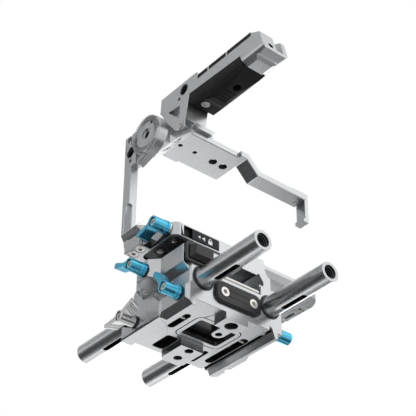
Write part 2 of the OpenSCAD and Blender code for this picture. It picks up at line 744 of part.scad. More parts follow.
module lever_cage() { color(BLUE) at_cage() lever_body(); }
module lever_cage_screw() { color(STEEL) at_cage() lever_stud(7); }
module lever_cage_washer() { color(STEEL) at_cage() lever_washer(5.1); }
module lever_riser() { color(BLUE) at_riser() lever_body(); }
module lever_riser_screw() { color(STEEL) at_riser() lever_stud(11); }
module lever_riser_washer() { color(BLACK) at_riser() lever_washer(5.1); }
module lever_rod_left() { color(BLUE) at_rod_left() lever_body(); }
module lever_rod_left_screw() { color(STEEL) at_rod_left() lever_stud(16.5 + side_out); }
module lever_rod_left_washer() { color(BLACK) at_rod_left() lever_washer(5.3); }
module lever_rod_right() { color(BLUE) at_rod_right() lever_body(); }
module lever_rod_right_screw() { color(STEEL) at_rod_right() lever_stud(16.5); }
module lever_rod_right_washer() { color(BLACK) at_rod_right() lever_washer(5.3); }

// Silver lever with two bent wings whose tips slant back towards the wall.
module lever_base() {
    x1 = washer_t + lever_len;
    w = 8.8;
    color(ALU) at_base() difference() {
        union() {
            rod_x(washer_t, x1, 0, 0, 4.2);
            for (s = [0, 1]) mirror([0, s, 0]) rotate([wing_bend, 0, 0]) difference() {
                translate([x1 - w, 0, 0]) rotate([90, 0, 90]) linear_extrude(w - 0.3)
                    polygon([[1.5, -3.3], [5, -2.1], [double_reach + 2, -1.5], [double_reach + 2, 1.5],
                        [5, 1.6],
                        [1.5, 2.8]]);
                translate([x1, double_reach, 0]) rotate([0, 0, -tip_slant]) {
                    translate([-20, 0, -5]) cube([30, 12, 10]);
                    // Grip serrations on the underside.
                    for (k = [0:3]) translate([-20, -2.3 - k * 1.5, -2.6]) cube([30, 0.7, 1.6]);
                }
            }
        }
        rod_x(-1, x1 + 1, 0, 0, stud_r + 0.1);
        rod_x(x1 - 3, x1 + 1, 0, 0, 3.4);
    }
}

wing_bend = 10;
tip_slant = -26;

module lever_base_screw() { color(STEEL) at_base() lever_stud(14.8); }
module lever_base_washer() { color(BLACK) at_base() lever_washer(4.7); }

// Cage

module dovetail_plate() {
    g = slide_gap;
    w = channel_w / 2 - g;
    z0 = riser_top_z - channel_depth + g;
    z1 = riser_top_z + 0.4;
    color(ALU) difference() {
        slab_y(plate_rear_y - 7, riser_front_y + 4, [[channel_x - w, z0], [channel_x + w, z0],
            [channel_x + w, z0 + 3], [channel_x + w - 5, z1], [35, z1], [28, plate_z], [channel_x - 32,
                plate_z],
            [channel_x - 32, z1], [channel_x - w + 5, z1], [channel_x - w, z0 + 3]]);
        block([channel_x - 33, plate_rear_y - 8, z1 - 0.1], [9, plate_rear_y + 4, plate_z + 1]);
        block([channel_x - 33, plate_rear_y - 8, z0 - 1], [40, plate_rear_y + 8, z1]);
    }
}

module cage_plate() {
    color(ALU) difference() {
        union() {
            // Main plate with a rounded rear left corner.
            translate([0, 0, plate_z]) linear_extrude(plate_t) union() {
                translate([plate_left_x + 6, plate_rear_y + 6]) circle(6);
                translate([plate_left_x + 6, plate_rear_y]) square([36 - plate_left_x - 6, 20]);
                translate([plate_left_x, plate_rear_y + 6]) square([36 - plate_left_x,
                    plate_front_y - plate_rear_y - 6]);
            }
            // Thinner wing to the right with round ends.
            translate([0, 0, plate_z]) linear_extrude(wing_plate_t) union() {
                translate([30, plate_rear_y]) square([plate_right_x - 30 - 15,
                    plate_front_y - plate_rear_y]);
                translate([30, plate_rear_y + 15]) square([plate_right_x - 30,
                    plate_front_y - plate_rear_y - 30]);
                for (y = [plate_rear_y + 15, plate_front_y - 15]) translate([plate_right_x - 15,
                    y]) circle(15);
            }
            // Seat of the arm.
            block([arm_x + foot_in + 2.62, 32, plate_z], [plate_left_x + 1, post_front_y - 1, plate_z + 6]);
        }
        // Rear edge of the wing slants under.
        slab_x(37, plate_right_x + 1, [[plate_rear_y - 1, plate_z - 1], [plate_rear_y + 3.5, plate_z - 1],
            [plate_rear_y - 1, plate_z + wing_plate_t - 1.5]]);
        // Slot of the lock slider in the rear edge.
        block([lock_x0 - 0.4 - lock_travel - 1, plate_rear_y - 1, lock_z0 - 0.3],
            [lock_x0 + lock_w + 0.4, plate_rear_y + 2.5, lock_z0 + 8.1]);
        // Dark pocket under the left side, with a round screw pocket in it.
        translate([insert_x, insert_y, plate_z - eps]) linear_extrude(3 + eps) round_rect(insert_w,
            insert_l, 5);
        for (q = insert_screw_places) translate([q[0], q[1], plate_z]) cylinder(h = 4, r = 1.35);
        // Long curved groove, slots and screw pockets under the right wing.
        slot_y(plate_right_x - 12, 14, 48, 3, plate_z - eps, plate_z + 1);
        slot_y(plate_right_x - 4.2, 33, 44, 3.2, plate_z - eps, plate_z + 3);
        for (y = [26, 49]) translate([plate_right_x - 5, y, plate_z - eps]) cylinder(h = 3 + eps, r = 3.3);
        for (y = [26, 49]) translate([plate_right_x - 5, y, plate_z - eps]) cylinder(h = 6.5 + eps,
            r = 1.6);
        // Stud bore of the cage lever.
        rod_x(plate_left_x - 1, plate_left_x + 7.5, cage_lever_y, cage_lever_z, stud_r + run_gap);
        // Camera screw, and the two screws that hold the arm.
        translate([0, 31, plate_z - eps]) cylinder(h = plate_t + 1, r = 3.3);
        for (y = arm_screw_ys) translate([arm_screw_x, y, plate_z - eps]) cylinder(h = 3 + eps, r = 3.5);
        for (y = arm_screw_ys) translate([arm_screw_x, y, plate_z]) cylinder(h = 12, r = 1.7);
    }
}

insert_x = -36.5;
insert_y = 26.9;
insert_w = 18;
insert_l = 37.2;
insert_screw_places = [[-40, 15], [-39, 31]];

module plate_insert() {
    color(BLACK) difference() {
        translate([insert_x, insert_y, plate_z + 1.2]) linear_extrude(1.78)
            round_rect(insert_w - 0.6, insert_l - 0.6, 4.7);
        for (q = insert_screw_places) translate([q[0], q[1], plate_z]) cylinder(h = 7, r = 1.45);
        translate([-39, 31, plate_z]) rotate_extrude() translate([4, 1.2]) square([0.8, 0.6]);
    }
}

module insert_screws() {
    color(STEEL) for (q = insert_screw_places)
        translate([q[0], q[1], plate_z + 0.1]) rotate([180, 0, 0]) socket_screw(2.3, 1.08, 1.3, 2.6);
}

arm_screw_x = -51.7;
arm_screw_ys = [37.6, 45.4];
lug_x = plate_right_x - 9;
lock_x0 = -31;
lock_z0 = plate_z + 1.8;

module arm_screws() {
    color(STEEL) for (y = arm_screw_ys)
        translate([arm_screw_x, y, plate_z + 0.2]) rotate([180, 0, 0]) socket_screw(3.4, 2.7, 1.6, 7);
}

module lock_slider() {
    color(ALU_DARK)
        block([lock_x0, plate_rear_y - 0.2, lock_z0], [lock_x0 + lock_w, plate_rear_y + 2.2,
            lock_z0 + 7.8]);
}

module cage_arm() {
    post_rear = post_front_y - post_w;
    pocket_z = plate_z + 16;
    ix = arm_x + arm_t;
    color(ALU) difference() {
        union() {
            // Foot, its skirt over the seat, post and upper plate.
            block([arm_x, 32, plate_z + 6], [plate_left_x - 0.02, post_front_y - 1, plate_top_z]);
            block([arm_x, 32, plate_z], [arm_x + foot_in + 2.6, post_front_y - 1, plate_z + 7]);
            translate([0, 0, plate_z + 6]) linear_extrude(9) {
                translate([arm_x + 6, 34.8]) circle(6);
                translate([arm_x, 34.8]) square([arm_t, post_front_y - 1 - 34.8]);
                translate([arm_x + 6, 28.8]) square([plate_left_x - arm_x - 6 - 0.02, 0.01]);
            }
            block([arm_x, post_rear, plate_z + 6], [ix, post_front_y, arm_top_z - 27]);
            block([arm_x, 37, arm_top_z - 30], [ix, post_front_y, arm_top_z]);
            // Round boss of the rosette and the shoulder that joins it to the post.
            rod_x(arm_x + 0.8, ix + 2, rosette_y, rosette_z, rosette_d / 2);
            slab_x(arm_x + 2, ix + 2, [[rosette_y - 4, rosette_z - 15.3], [38.5, arm_top_z - 30],
                [38.5, arm_top_z - 1], [rosette_y, rosette_z + 15.9]]);
        }
        // Behind the large thread the plate keeps its own thickness.
        block([ix, 38.5, arm_top_z - 31], [ix + 3, 60, arm_top_z + 5]);
        // Outer face of the foot slants in and stands back below.
        slab_y(20, 60, [[arm_x - 1, plate_z - 1], [arm_x + foot_in, plate_z - 1], [arm_x + foot_in,
            plate_z + 10],
            [arm_x, plate_z + 15], [arm_x - 1, plate_z + 15]]);
        // Pocket low on the post, slot, thread and pin hole in the upper plate.
        slab_x(arm_x - 1, arm_x + 2.6, [[post_rear - 1, pocket_z], [post_rear + 3.6, pocket_z],
            [post_rear + 5.6, pocket_z + 2], [post_rear + 5.6, pocket_z + 17], [post_rear + 3.2,
                pocket_z + 23],
            [post_rear - 1, pocket_z + 23]]);
        block([arm_x - 1, 42.8, arm_top_z - 9], [arm_x + 3, 44.2, arm_top_z + 1]);
        block([arm_x - 1, 44.2, arm_top_z - 6], [arm_x + 2, 48, arm_top_z - 1.5]);
        rod_x(arm_x - 1, ix + 3, 44, arm_thread_z, tripod_38_d / 2);
        rod_x(arm_x - 1, arm_x + 5, 44, arm_thread_z - 8, 1.5);
        rod_x(arm_x - 1, ix + 5, rosette_y, rosette_z, 3.05);
        for (y = arm_screw_ys) translate([arm_screw_x, y, plate_z]) cylinder(h = 10.5, r = 1.62);
        for (y = arm_screw_ys) translate([arm_screw_x, y, plate_z - eps]) cylinder(h = 3 + eps, r = 3.5);
        rod_x(arm_x, arm_x + 4, rosette_y - 7.6, rosette_z + 7.6, rosette_pin_r);
        // Room for the rosette's rim over the upper plate.
        rod_x(arm_x - 1, arm_x + 0.8, rosette_y, rosette_z, rosette_d / 2 + slide_gap);
        // Thin groove across the foot.
        block([arm_x - 1, 31, plate_z + 10], [arm_x + foot_in + 0.5, 46, plate_z + 10.6]);
        // Seat of the top bridge.
        for (y = bridge_screw_ys) rod_x(ix - 4, ix + 3, y, bridge_screw_z, 1.62);
    }
}

rosette_pin_r = 2;
bridge_screw_ys = [20, 34];

module rosette() {
    // The rim keeps clear of a screw in the arm's large thread.
    r = rosette_d / 2 - 0.1;
    color(ALU) translate([arm_x + 0.8, rosette_y, rosette_z]) rotate([0, -90, 0]) union() {
        linear_extrude(1.2) difference() {
            circle(r - 0.4);
            circle(4.6);
            translate([7.6, -7.6]) circle(rosette_pin_r);
        }
        translate([0, 0, 1.1]) linear_extrude(0.9) difference() {
            circle(r - 0.4);
            circle(r - 5);
            for (i = [0:rosette_teeth - 1])
                rotate(i * 360 / rosette_teeth) translate([r - 5.5, -0.4]) square([6, 0.8]);
        }
    }
}

module top_bridge() {
    ix = arm_x + arm_t + 2.02;
    s = shoulder_z;
    t = bridge_t;
    color(ALU) difference() {
        union() {
            // Flange on the arm, left shoulder, hump and top under the handle.
            slab_y(bridge_y, bridge_y + bridge_l, [[ix, s - 8], [ix + 5, s - 8], [ix + 5, s], [-40, s],
                [-27, hump_z], [26, hump_z], [26, hump_z + t], [-29, hump_z + t], [-42, s + t + 1.5],
                [ix, s + t + 5]]);
            // Narrow bar over the right shoulder.
            slab_y(bridge_y - 3, bridge_y + 11, [[20, hump_z], [26, hump_z], [37, s], [lug_x, s],
                [lug_x, s + t], [39, s + t], [28, hump_z + t], [20, hump_z + t]]);
        }
        for (y = bridge_screw_ys) rod_x(ix - 1, ix + 6, y, bridge_screw_z, 1.75);
        for (y = bridge_screw_ys) rod_x(ix + 2.5, ix + 30, y, bridge_screw_z, 3.2);
        for (x = [-24, -10]) translate([x, 30, hump_z - 1]) cylinder(h = 20, r = 1.6);
        translate([lug_x - 5, bridge_y + 4, s - 1]) cylinder(h = 20, r = 1.62);
        // Accessory threads.
        for (x = [8, 18]) translate([x, 30, hump_z - 1]) cylinder(h = 20, r = tripod_14_d / 2);
    }
}

module bridge_screws() {
    ix = arm_x + arm_t + 2.02;
    color(STEEL) for (y = bridge_screw_ys)
        translate([ix + 5, y, bridge_screw_z]) rotate([0, 90, 0]) socket_screw(3, 2.4, 1.58, 6.2);
}

module lug_bracket() {
    x = lug_x;
    color(ALU) difference() {
        union() {
            block([x - 11, bridge_y - 1, shoulder_z + bridge_t + 0.02], [x + 4, bridge_y + 9,
                shoulder_z + bridge_t + 3]);
            block([x + 0.3, bridge_y - 1, shoulder_z - 16], [x + 4, bridge_y + 9,
                shoulder_z + bridge_t + 3]);
            block([x - 1.5, bridge_y - 1, shoulder_z - 19.5], [x + 4, bridge_y + 9, shoulder_z - 16]);
        }
        translate([lug_x - 5, bridge_y + 4, shoulder_z]) cylinder(h = 20, r = 1.7);
    }
}

module wing_screws() {
    color(STEEL) {
        for (y = [26, 49]) translate([plate_right_x - 5, y, plate_z + 0.3]) rotate([180, 0,
            0]) socket_screw(3.2, 2.5, 1.55, 3.2);
        translate([lug_x - 5, bridge_y + 4, shoulder_z + bridge_t + 5.4]) socket_screw(2.8, 2.3, 1.58, 7.4);
    }
}

module handle_rail() {
    x = rail_x;
    z0 = hump_z + bridge_t + 0.02;
    color(ALU) difference() {
        slab_y(rail_y, rail_y + rail_len, [[x - 6.5, z0], [x + 6.5, z0], [x + 6.5, z0 + 1], [x + 9.5,
            z0 + 3.2],
            [x + 9.5, rail_top_z], [x - 9.5, rail_top_z], [x - 9.5, z0 + 3.2], [x - 6.5, z0 + 1]]);
        for (y = [22, 42]) translate([x, y, z0 - 1]) cylinder(h = 10, r = 1.6);
    }
}

// Handle

module handle_body() {
    x0 = handle_x;
    x1 = handle_x + handle_w;
    t = handle_top_z;
    b = bar_low_z;
    r = handle_rear_y;
    f = handle_front_y;
    color(ALU) difference() {
        union() {
            // Bar with its leaning rear end, the finger stop under it and the thick front.
            slab_x(x0, x1, [[f - 1, t], [5, t], [-4, t - 3.5], [r + 16, t - 3.5], [r + 4.5, t - 9.2],
                [r + 4, t - 9.7], [r, b - 5.5], [r + 0.5, b - 7], [r + 8, b - 7.5], [r + 10, b - 7],
                [r + 12.4, b - 9], [r + 23.5, b - 9], [r + 26.2, b + 0.72], [f, b + 5], [f, b + 6]]);
            // Front part under the bar and the leg.
            slab_x(x0, x0 + leg_w, [[13, b + 1], [17.5, foot_top_z], [40, foot_top_z], [43, b - 4],
                [f, b + 6.5], [f - 4, b + 8], [13, b + 8]]);
        }
        // Both lower edges of the rear end are well rounded.
        for (s = [0, 1]) translate([s * (x0 + x1), 0, 0]) mirror([s, 0, 0])
            slab_y(r - 1, r + 27, [[x0 - 1, b - 3.5], [x0, b - 3.5], [x0 + 0.7, b - 5.4], [x0 + 2, b - 7],
                [x0 + 4.2, b - 8.2], [x0 + 6, b - 9.5], [x0 - 1, b - 9.5]]);
        // Triangular pocket in the leg.
        slab_x(x0 - 1, x0 + 4, [[38.5, b + 0.5], [24, b - 1], [25, b - 13]]);
        // Accessory thread and locating hole in the left side.
        rod_x(x0 - 1, x0 + 12, 19.6, t - 7.5, tripod_38_d / 2);
        rod_x(x0 - 1, x0 + 6, 25.4, t - 13.5, 1.6);
        // Seats of the rubber inlays along both top edges.
        for (y = inlay_ys) {
            block([x0 - 1, y[0], t - 7.5], [x0 + 5, y[1], t]);
            block([x1 - 5, y[0], t - 7.5], [x1 + 1, y[1], t]);
        }
        // Shoe notch in the rear end, and the round hole beside it.
        slab_y(r - 1, r + 12, [[x0 + 13.6, b - 4], [x0 + 19.7, b - 4], [x0 + 20.8, t], [x0 + 11.8, t]]);
        rod_y(r - 1, r + 10, x0 + 8, b - 2, 2.2);
        translate([grip_screw_x, grip_screw_y, b - 1]) cylinder(h = 8, r = 2.05);
        translate([x0 + leg_w / 2, 29, foot_top_z - 1]) cylinder(h = 12, r = 2.05);
    }
}

inlay_ys = [[-59, -32], [-30.5, -10.5], [-9, 3]];
grip_screw_x = handle_mid_x - 3;
grip_screw_y = 3.5;

module handle_inlays() {
    t = handle_top_z - 3.5;
    x1 = handle_x + handle_w;
    color(BLACK) for (y = inlay_ys) {
        block([handle_x + 0.1, y[0] + 0.05, t - 4], [handle_x + 5, y[1] - 0.05, t - 0.1]);
        block([x1 - 5, y[0] + 0.05, t - 4], [x1 - 0.1, y[1] - 0.05, t - 0.1]);
    }
}

module handle_grip() {
    b = bar_low_z - 0.02;
    m = handle_mid_x;
    color(BLACK) difference() {
        intersection() {
            slab_x(handle_x, handle_x + handle_w, [[12.5, b + 3.3], [12.5, b - 5.5], [10.4, b - 8],
                [-1, b - 9.2], [-5, b - 11], [-10, b - 11.9], [-16, b - 12.3], [-28, b - 12.3],
                [-38.5, b - 11], [-49.1, b - 8.4], [-46.4, b + 0.66]]);
            // Rounded section across.
            slab_y(-60, 20, [[m - 11.9, b + 4], [m - 11.9, b - 3], [m - 11.2, b - 6.5], [m - 9.4, b - 9.5],
                [m - 6.8, b - 11.6], [m - 3.5, b - 12.5], [m + 3.5, b - 12.5], [m + 6.8, b - 11.6],
                [m + 9.4, b - 9.5], [m + 11.2, b - 6.5], [m + 11.9, b - 3], [m + 11.9, b + 4]]);
        }
        translate([m, -29.3, b - 30]) cylinder(h = 26, r = 3.2);
        translate([grip_screw_x, grip_screw_y, b - 30]) cylinder(h = 24.5, r = 3.6);
        translate([grip_screw_x, grip_screw_y, b - 30]) cylinder(h = 36, r = 2.1);
        // Finger ribs across the belly.
        for (k = [0:3]) block([handle_x, -23 + k * 3.6, b - 13], [handle_x + handle_w, -22.3 + k * 3.6,
            b - 11.9]);
    }
}

module grip_screw() {
    color(STEEL) translate([grip_screw_x, grip_screw_y, bar_low_z - 8.6]) rotate([180, 0, 0])
        socket_screw(3.4, 2.8, 2, 12);
}

module handle_foot() {
    x = rail_x - 3;
    z0 = hump_z + bridge_t + slide_gap;
    m = rail_x;
    g = slide_gap;
    color(ALU) difference() {
        block([x - 13, 15, z0], [x + 15, 43, foot_top_z - 0.02]);
        // Dovetail that rides on the rail.
        slab_y(10, 50, [[m - 6.5 - g, z0 - 1], [m + 6.5 + g, z0 - 1], [m + 6.5 + g, z0 + 0.8],
            [m + 9.5 + g, z0 + 3],
            [m + 9.5 + g, rail_top_z + g], [m - 9.5 - g, rail_top_z + g], [m - 9.5 - g, z0 + 3],
                [m - 6.5 - g, z0 + 0.8]]);
        translate([handle_x + leg_w / 2, 29, z0]) cylinder(h = 12, r = 2.15);
        rod_x(x - 14, x - 8, 20, z0 + 4.5, 1.8);
        rod_x(x - 14, x - 12.25, 20, z0 + 4.5, 2.7);
        // Slanted outer edges.
        slab_y(10, 50, [[x - 14, z0 - 1], [x - 11, z0 - 1], [x - 14, z0 + 3]]);
    }
}

module foot_screw() {
    color(STEEL) {
        translate([handle_x + leg_w / 2, 29, foot_top_z - 2.5]) cylinder(h = 12, r = 2);
        translate([rail_x - 16.3, 20, hump_z + bridge_t + slide_gap + 4.5]) rotate([0, -90, 0])
            socket_screw(2.6, 1, 1.75, 4);
    }
}

rod_block();
base_plate();
locating_ring();
recess_plate();
base_pins();
base_screws();
rear_pad();
pad_screws();
rod_collars();
rod_cotters();
riser();
cross_bar();
riser_screws();
button_housing();
release_button();
release_spring();
rod_left();
rod_right();
lever_cage();
lever_cage_screw();
lever_cage_washer();
lever_riser();
lever_riser_screw();
lever_riser_washer();
lever_rod_left();
lever_rod_left_screw();
lever_rod_left_washer();
lever_rod_right();
lever_rod_right_screw();
lever_rod_right_washer();
lever_base();
lever_base_screw();
lever_base_washer();
dovetail_plate();
cage_plate();
plate_insert();
insert_screws();
cage_arm();
arm_screws();
rosette();
top_bridge();
bridge_screws();
handle_rail();
lug_bracket();
wing_screws();
lock_slider();
handle_body();
handle_grip();
handle_inlays();
grip_screw();
handle_foot();
foot_screw();
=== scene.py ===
"""Looks of a camera cage rig: cage, top handle, quick release riser, rod block and rods.

All sizes are millimetres times MM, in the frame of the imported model: X to the right, Y
forwards, Z up, the origin at the mouth of the large tripod thread. The studio round the
rig is in metres.
"""
import json
import math

import bmesh
import bpy
from mathutils import Euler, Matrix, Vector


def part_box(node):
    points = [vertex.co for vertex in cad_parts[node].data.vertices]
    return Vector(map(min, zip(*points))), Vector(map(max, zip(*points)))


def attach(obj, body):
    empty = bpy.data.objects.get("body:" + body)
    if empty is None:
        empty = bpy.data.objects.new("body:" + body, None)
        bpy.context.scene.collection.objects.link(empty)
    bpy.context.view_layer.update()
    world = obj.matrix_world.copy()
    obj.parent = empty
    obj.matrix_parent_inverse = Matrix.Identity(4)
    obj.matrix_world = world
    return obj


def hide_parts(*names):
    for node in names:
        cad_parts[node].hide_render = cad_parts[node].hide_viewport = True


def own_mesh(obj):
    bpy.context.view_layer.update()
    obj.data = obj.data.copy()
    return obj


MM = 0.001
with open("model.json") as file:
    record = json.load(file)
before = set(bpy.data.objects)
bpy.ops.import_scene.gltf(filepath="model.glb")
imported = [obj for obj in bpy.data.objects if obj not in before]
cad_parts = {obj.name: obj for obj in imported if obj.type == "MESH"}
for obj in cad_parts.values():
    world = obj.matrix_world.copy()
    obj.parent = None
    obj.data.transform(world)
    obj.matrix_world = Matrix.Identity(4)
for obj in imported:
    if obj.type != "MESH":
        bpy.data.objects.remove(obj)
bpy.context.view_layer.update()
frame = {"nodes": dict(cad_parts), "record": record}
record = frame["record"]
behaviour = record["behaviour"]
BODY_OF = {node: body for body, members in behaviour["bodies"].items() for node in members}
SLOT_OF = {row["node"]: row["material_slot"] for row in record["subparts"]}
MOUNTS = {row["name"]: row for row in record["mounts"]}

# Two points nearer than this in mm are one.
SAME_MM = 0.002


# Small helpers

def mm(*values):
    """A point or size in millimetres, as metres."""
    return Vector([v * MM for v in values])


def linear(code):
    """The linear colour of an sRGB hex value."""
    channels = [int(code[i:i + 2], 16) / 255 for i in (1, 3, 5)]
    return tuple(c / 12.92 if c <= 0.04045 else ((c + 0.055) / 1.055) ** 2.4
                 for c in channels) + (1.0,)


def line_of(row):
    """The point and the axis of a mount or a joint."""
    return Vector(row["pos_m"]), Vector(row["axis"])


def off_axis(place, point, axis):
    """The way from the line through point along axis to a place, square to that line."""
    arm = place - point
    return arm - arm.dot(axis) * axis


def add(tree, kind, inputs=None, **settings):
    """Adds a node, sets it up, and fills or links its sockets."""
    node = tree.nodes.new(kind)
    for name, value in settings.items():
        setattr(node, name, value)
    for socket, value in (inputs or {}).items():
        if isinstance(value, bpy.types.NodeSocket):
            tree.links.new(value, node.inputs[socket])
        else:
            node.inputs[socket].default_value = value
    return node


def deselect():
    if bpy.context.object and bpy.context.object.mode != "OBJECT":
        bpy.ops.object.mode_set(mode="OBJECT")
    bpy.ops.object.select_all(action="DESELECT")


def pick(obj):
    """Makes obj the only selected object."""
    deselect()
    obj.select_set(True)
    bpy.context.view_layer.objects.active = obj


def edit(select="SELECT"):
    bpy.ops.object.mode_set(mode="EDIT")
    bpy.ops.mesh.select_all(action=select)


def done():
    bpy.ops.object.mode_set(mode="OBJECT")


def apply(obj, kind, **settings):
    """Adds a modifier and applies it."""
    pick(obj)
    modifier = obj.modifiers.new(kind.lower(), kind)
    for name, value in settings.items():
        setattr(modifier, name, value)
    bpy.ops.object.modifier_apply(modifier=modifier.name)


def bake_place(obj):
    """Puts a piece's place, turn and size into its mesh."""
    pick(obj)
    bpy.ops.object.transform_apply(location=True, rotation=True, scale=True)


def settle(obj):
    """Puts a piece's place into its mesh, with its faces outwards."""
    bake_place(obj)
    edit()
    bpy.ops.mesh.remove_doubles(threshold=SAME_MM * MM)
    bpy.ops.mesh.normals_make_consistent(inside=False)
    done()


def shade(obj, angle):
    """Shades a piece smooth, but for edges sharper than angle in degrees."""
    pick(obj)
    bpy.ops.object.shade_smooth_by_angle(angle=math.radians(angle))


def finish_piece(obj, name, material, body):
    """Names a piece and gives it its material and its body."""
    obj.name = name
    obj.data.name = name
    obj.data.materials.clear()
    obj.data.materials.append(material)
    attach(obj, body)


# Materials

# Noise mostly lies between these values, so its span is stretched from them.
NOISE_SPAN = {"From Min": 0.3, "From Max": 0.7}
# How far the roughness of a surface wanders either way.
ROUGH_SPREAD = 0.05
# Width in mm of the faint clouds that handling and dust leave on metal and on plastic.
METAL_CLOUD_MM = 26.3
PLASTIC_CLOUD_MM = 11.1


def start_material(name):
    material = bpy.data.materials.new(name)
    material.use_nodes = True
    tree = material.node_tree
    tree.nodes.clear()
    return material, tree


def blasted_metal(name, colour, roughness, grain_mm=0.8, bump=0.25, sparkle=0.06):
    """Bead blasted and anodised aluminium: an even satin sheen with a fine sparkle of grain.

    Real grains are 0.1 mm, too fine to show, so they are drawn about eight times coarser.
    """
    material, tree = start_material(name)
    place = add(tree, "ShaderNodeTexCoord").outputs["Object"]
    grain = add(tree, "ShaderNodeTexNoise", {
        "Vector": place, "Scale": 1.0 / (grain_mm * MM), "Detail": 3.0,
        "Roughness": 0.65}).outputs["Fac"]
    cloud = add(tree, "ShaderNodeTexNoise", {
        "Vector": place, "Scale": 1.0 / (METAL_CLOUD_MM * MM), "Detail": 2.0}).outputs["Fac"]
    fine = add(tree, "ShaderNodeMapRange", {
        **NOISE_SPAN, "Value": grain, "To Min": 1.0 - sparkle, "To Max": 1.0 + sparkle})
    wide = add(tree, "ShaderNodeMapRange", {
        **NOISE_SPAN, "Value": cloud, "To Min": 0.98, "To Max": 1.02})
    tone = add(tree, "ShaderNodeMath", {
        0: fine.outputs["Result"], 1: wide.outputs["Result"]}, operation="MULTIPLY")
    tint = add(tree, "ShaderNodeVectorMath", {
        0: linear(colour)[:3], "Scale": tone.outputs["Value"]}, operation="SCALE")
    rough = add(tree, "ShaderNodeMapRange", {
        **NOISE_SPAN, "Value": grain, "To Min": roughness - ROUGH_SPREAD,
        "To Max": roughness + ROUGH_SPREAD})
    relief = add(tree, "ShaderNodeBump", {
        "Height": grain, "Strength": bump, "Distance": 0.04 * MM})
    shader = add(tree, "ShaderNodeBsdfPrincipled", {
        "Base Color": tint.outputs["Vector"], "Roughness": rough.outputs["Result"],
        "Normal": relief.outputs["Normal"], "Metallic": 1.0})
    add(tree, "ShaderNodeOutputMaterial", {"Surface": shader.outputs["BSDF"]})
    return material


def moulded(name, colour, roughness, pebble_mm, bump, gloss=0.5):
    """Moulded plastic, rubber or paint: a fine pebbled skin that breaks up the sheen."""
    material, tree = start_material(name)
    place = add(tree, "ShaderNodeTexCoord").outputs["Object"]
    pebble = add(tree, "ShaderNodeTexVoronoi", {
        "Vector": place, "Scale": 1.0 / (pebble_mm * MM)})
    haze = add(tree, "ShaderNodeTexNoise", {
        "Vector": place, "Scale": 1.0 / (PLASTIC_CLOUD_MM * MM), "Detail": 3.0}).outputs["Fac"]
    tone = add(tree, "ShaderNodeMapRange", {
        **NOISE_SPAN, "Value": haze, "To Min": 0.88, "To Max": 1.12})
    tint = add(tree, "ShaderNodeVectorMath", {
        0: linear(colour)[:3], "Scale": tone.outputs["Result"]}, operation="SCALE")
    rough = add(tree, "ShaderNodeMapRange", {
        **NOISE_SPAN, "Value": haze, "To Min": roughness - ROUGH_SPREAD,
        "To Max": roughness + ROUGH_SPREAD})
    relief = add(tree, "ShaderNodeBump", {
        "Height": pebble.outputs["Distance"], "Strength": bump, "Distance": 0.05 * MM})
    shader = add(tree, "ShaderNodeBsdfPrincipled", {
        "Base Color": tint.outputs["Vector"], "Roughness": rough.outputs["Result"],
        "Normal": relief.outputs["Normal"], "IOR": 1.5, "Specular IOR Level": gloss})
    add(tree, "ShaderNodeOutputMaterial", {"Surface": shader.outputs["BSDF"]})
    return material


# Bead blasted, clear anodised aluminium of cage, riser and block: it mirrors the studio in
# soft bands, so each facet has a grey of its own.
GREY_ALUMINIUM = blasted_metal("bead_blasted_aluminium", "#BCBEC0", 0.3)
# The handle's aluminium is a shade paler and duller.
HANDLE_ALUMINIUM = blasted_metal("bead_blasted_handle", "#C2C4C6", 0.34)
# Black anodised aluminium of the lock slider: near black, with a metal's soft shine.
DARK_ALUMINIUM = blasted_metal("dark_anodised_slider", "#2C2E30", 0.4)
# Blue anodised aluminium of the levers: even what it mirrors is blue.
BLUE_ALUMINIUM = blasted_metal("blue_anodised_lever", "#57B8D8", 0.27, 0.5, 0.05, 0.02)
# Bare machined aluminium of the wing lever: the palest metal, with crisp lights.
SILVER_ALUMINIUM = blasted_metal("bare_machined_lever", "#D6D7D8", 0.3, 0.5, 0.1)
# Hard anodised, ground aluminium of the rods: smooth, with long lights along the rod.
ROD_METAL = blasted_metal("hard_anodised_rod", "#B6B8BA", 0.3, 0.9, 0.0, 0.02)
# Turned stainless steel of screws, pins and bars: bright rims, a little warmer than the rest.
STEEL = blasted_metal("turned_steel_screw", "#CFCDC9", 0.27, 0.4, 0.1)
# Moulded black plastic: deep black with a half dull skin.
BLACK_PLASTIC = moulded("moulded_black_plastic", "#1A1B1D", 0.36, 0.5, 0.25, 0.4)
# Black coated metal: as dark as the plastic, but with a finer and shinier skin.
BLACK_METAL = moulded("black_coated_metal", "#1B1C1E", 0.32, 0.4, 0.2, 0.5)
# Soft touch rubber of the grip: hardly any highlight.
RUBBER = moulded("soft_touch_rubber", "#141415", 0.6, 0.6, 0.35, 0.18)
# Printed ink of the signs: flat white.
WHITE_PRINT = moulded("white_printed_ink", "#E8E8E6", 0.5, 0.5, 0.1)
# Painted shade for the walls deep in pockets and bores: near black where little light reaches,
# with a rough milled skin.
PAINTED_POCKET_SHADE = moulded("painted_pocket_shade", "#101011", 0.5, 0.8, 0.2, 0.25)
# Cut threads in a grey much darker than the metal round them: painted shade for the depth of their
# bores, so that only their crests catch the light.
SHADED_THREAD_METAL = blasted_metal("cut_thread_painted_shade", "#4C4D4F", 0.35, 0.5, 0.1)

FINISH = {
    "anodised_grey": GREY_ALUMINIUM, "anodised_dark": DARK_ALUMINIUM, "rod_metal": ROD_METAL,
    "blue_lever": BLUE_ALUMINIUM, "silver_lever": SILVER_ALUMINIUM, "steel_screw": STEEL,
    "black_plastic": BLACK_PLASTIC, "black_metal": BLACK_METAL, "rubber": RUBBER,
}


# CAD pieces with their edges broken, as the real machined and moulded ones have

